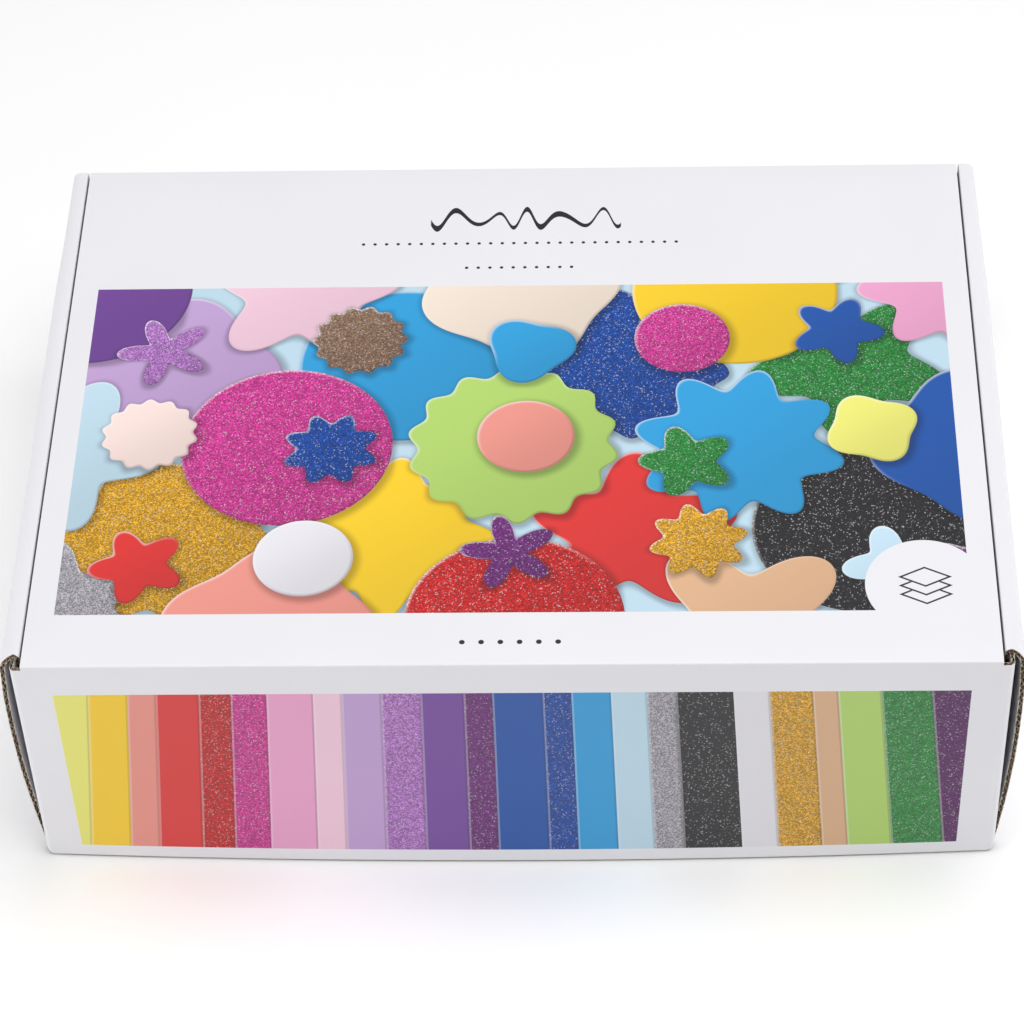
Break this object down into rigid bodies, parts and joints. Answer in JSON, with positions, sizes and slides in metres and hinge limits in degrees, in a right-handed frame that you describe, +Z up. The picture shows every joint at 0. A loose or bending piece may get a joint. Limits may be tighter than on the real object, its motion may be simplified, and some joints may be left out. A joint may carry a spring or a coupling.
{
  "type": "corrugated mailer box of craft foam sheets",
  "caption": "Shallow printed mailer box of white corrugated board with a hinged tuck-in lid, filled with a stack of flat coloured A4 craft foam sheets.",
  "frame": {"origin": "middle of the overall box, on the surface that it stands on", "axes": "+X along the long side, from the left rolled side wall to the right one; -Y towards the front flap; +Z up"},
  "size_m": [0.3206, 0.2294, 0.0976],
  "materials": {
    "white_board": "satin white liner, brown flutes at the cut edges",
    "printed_lid": "satin white with a colour print",
    "printed_flap": "satin white with a striped colour print",
    "foam_red": "matte closed-cell foam",
    "foam_coral": "matte closed-cell foam",
    "foam_golden_yellow": "matte closed-cell foam",
    "foam_lemon": "matte closed-cell foam",
    "foam_light_green": "matte closed-cell foam",
    "foam_dark_green": "matte closed-cell foam",
    "foam_sky_blue": "matte closed-cell foam",
    "foam_royal_blue": "matte closed-cell foam",
    "foam_violet": "matte closed-cell foam",
    "foam_lilac": "matte closed-cell foam",
    "foam_pink": "matte closed-cell foam",
    "foam_pale_pink": "matte closed-cell foam",
    "foam_cream": "matte closed-cell foam",
    "foam_tan": "matte closed-cell foam",
    "foam_black": "matte closed-cell foam",
    "foam_white": "matte closed-cell foam"
  },
  "bodies": {
    "box": {"tray": "white_board", "foam_sheet_01": "foam_red", "foam_sheet_02": "foam_coral", "foam_sheet_03": "foam_golden_yellow", "foam_sheet_04": "foam_lemon", "foam_sheet_05": "foam_light_green", "foam_sheet_06": "foam_dark_green", "foam_sheet_07": "foam_sky_blue", "foam_sheet_08": "foam_royal_blue", "foam_sheet_09": "foam_violet", "foam_sheet_10": "foam_lilac", "foam_sheet_11": "foam_pink", "foam_sheet_12": "foam_pale_pink", "foam_sheet_13": "foam_cream", "foam_sheet_14": "foam_tan", "foam_sheet_15": "foam_black", "foam_sheet_16": "foam_white", "foam_sheet_17": "foam_red", "foam_sheet_18": "foam_coral", "foam_sheet_19": "foam_golden_yellow", "foam_sheet_20": "foam_lemon", "foam_sheet_21": "foam_light_green", "foam_sheet_22": "foam_dark_green", "foam_sheet_23": "foam_sky_blue", "foam_sheet_24": "foam_royal_blue", "foam_sheet_25": "foam_violet", "foam_sheet_26": "foam_lilac", "foam_sheet_27": "foam_pink", "foam_sheet_28": "foam_pale_pink", "foam_sheet_29": "foam_cream", "foam_sheet_30": "foam_tan", "foam_sheet_31": "foam_black", "foam_sheet_32": "foam_white", "foam_sheet_33": "foam_red", "foam_sheet_34": "foam_coral", "foam_sheet_35": "foam_golden_yellow", "foam_sheet_36": "foam_lemon", "foam_sheet_37": "foam_light_green", "foam_sheet_38": "foam_dark_green", "foam_sheet_39": "foam_sky_blue", "foam_sheet_40": "foam_royal_blue"},
    "lid": {"lid": "printed_lid"},
    "front_flap": {"front_flap": "printed_flap", "left_ear": "white_board", "right_ear": "white_board"}
  },
  "joints": [
    {"name": "lid_hinge", "type": "hinge", "parent": "box", "child": "lid", "pos_m": [0, 0.114, 0.0969], "axis": [-1, 0, 0], "range_deg": [0, 180], "deforming": ["left_ear", "right_ear"]},
    {"name": "front_flap_hinge", "type": "hinge", "parent": "lid", "child": "front_flap", "pos_m": [0, -0.111, 0.0969], "axis": [-1, 0, 0], "range_deg": [0, 90]}
  ]
}
